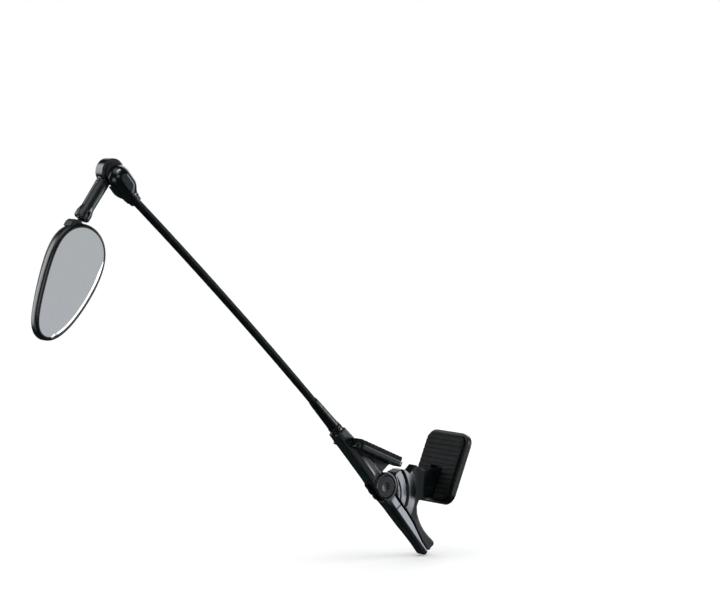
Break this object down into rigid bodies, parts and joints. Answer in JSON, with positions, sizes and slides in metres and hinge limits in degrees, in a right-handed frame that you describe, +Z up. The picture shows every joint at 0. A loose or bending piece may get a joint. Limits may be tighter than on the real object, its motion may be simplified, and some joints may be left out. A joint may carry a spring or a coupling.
{
  "type": "helmet mirror",
  "caption": "Small teardrop rear-view mirror on a ball joint, folding elbow and thin bowed arm, with a sprung lever clip for the rim of a cycling helmet.",
  "frame": {"origin": "the middle of the outer jaw pad's clamp face, where the clip sits on the helmet rim", "axes": "+Z up as worn with the arm rising forward, +Y along the clip's hinge axis away from the mirror's glass face, -X along the arm towards the mirror"},
  "size_m": [0.2038, 0.024, 0.1643],
  "materials": {
    "lever_plastic": "glossy black moulding, soft scuffs",
    "cover_plastic": "satin black moulding",
    "jaw_plastic": "fine matt black moulding",
    "knuckle_plastic": "glossy black moulding",
    "shell_plastic": "satin black moulding with fine grain",
    "bezel_plastic": "glossy black moulding",
    "sleeve_plastic": "satin black sleeve",
    "liner_plastic": "dark grey acetal",
    "pad_rubber": "matt black rubber",
    "bright_steel": "plated steel",
    "spring_steel": "drawn spring wire",
    "black_steel": "blackened steel",
    "washer_fibre": "dark fibre washer",
    "foam": "foam mounting tape",
    "mirror_glass": "rear-silvered flat glass"
  },
  "bodies": {
    "clip_and_arm": {"outer_lever": "lever_plastic", "hinge_pin": "bright_steel", "pin_cover_near": "cover_plastic", "pin_cover_far": "cover_plastic", "clip_spring": "spring_steel", "outer_pad": "pad_rubber", "arm_core": "bright_steel", "arm_sleeve": "sleeve_plastic", "arm_boot": "cover_plastic", "arm_set_screw": "black_steel", "arm_collar": "cover_plastic", "core_clip": "spring_steel"},
    "inner_jaw_lever": {"inner_lever": "lever_plastic", "inner_jaw": "jaw_plastic", "jaw_screws": "bright_steel", "inner_pad": "pad_rubber"},
    "knuckle": {"knuckle_body": "knuckle_plastic", "elbow_screw": "bright_steel", "elbow_washer": "washer_fibre"},
    "link": {"swivel_cap": "knuckle_plastic", "link_arm": "sleeve_plastic"},
    "ball_seat": {"ball_liner": "liner_plastic"},
    "mirror_head": {"ball_stud": "cover_plastic", "stud_screw": "bright_steel", "rear_shell": "shell_plastic", "bezel": "bezel_plastic", "glass_backing": "foam", "mirror_glass": "mirror_glass"}
  },
  "joints": [
    {"name": "clip_hinge", "type": "hinge", "parent": "clip_and_arm", "child": "inner_jaw_lever", "pos_m": [0.0056, 0, -0.01665], "axis": [0, -1, 0], "range_deg": [0, 22], "stiffness_Nm_per_rad": 0.4, "springref_deg": 28.65, "deforming": ["clip_spring"]},
    {"name": "arm_swivel", "type": "hinge", "parent": "clip_and_arm", "child": "knuckle", "pos_m": [-0.11589, 0, 0.10296], "axis": [-0.7428, 0, 0.6695], "range_deg": [-170, 170]},
    {"name": "elbow_fold", "type": "hinge", "parent": "knuckle", "child": "link", "pos_m": [-0.12359, 0, 0.11233], "axis": [0, 1, 0], "range_deg": [0, 80]},
    {"name": "ball_spin", "type": "hinge", "parent": "link", "child": "ball_seat", "pos_m": [-0.1356, 0.0029, 0.09645], "axis": [-0.6032, 0, -0.7976], "range_deg": [-170, 170]},
    {"name": "ball_tilt", "type": "hinge", "parent": "ball_seat", "child": "mirror_head", "pos_m": [-0.1356, 0.0029, 0.09645], "axis": [0.7976, 0, -0.6032], "range_deg": [-18, 18]}
  ]
}
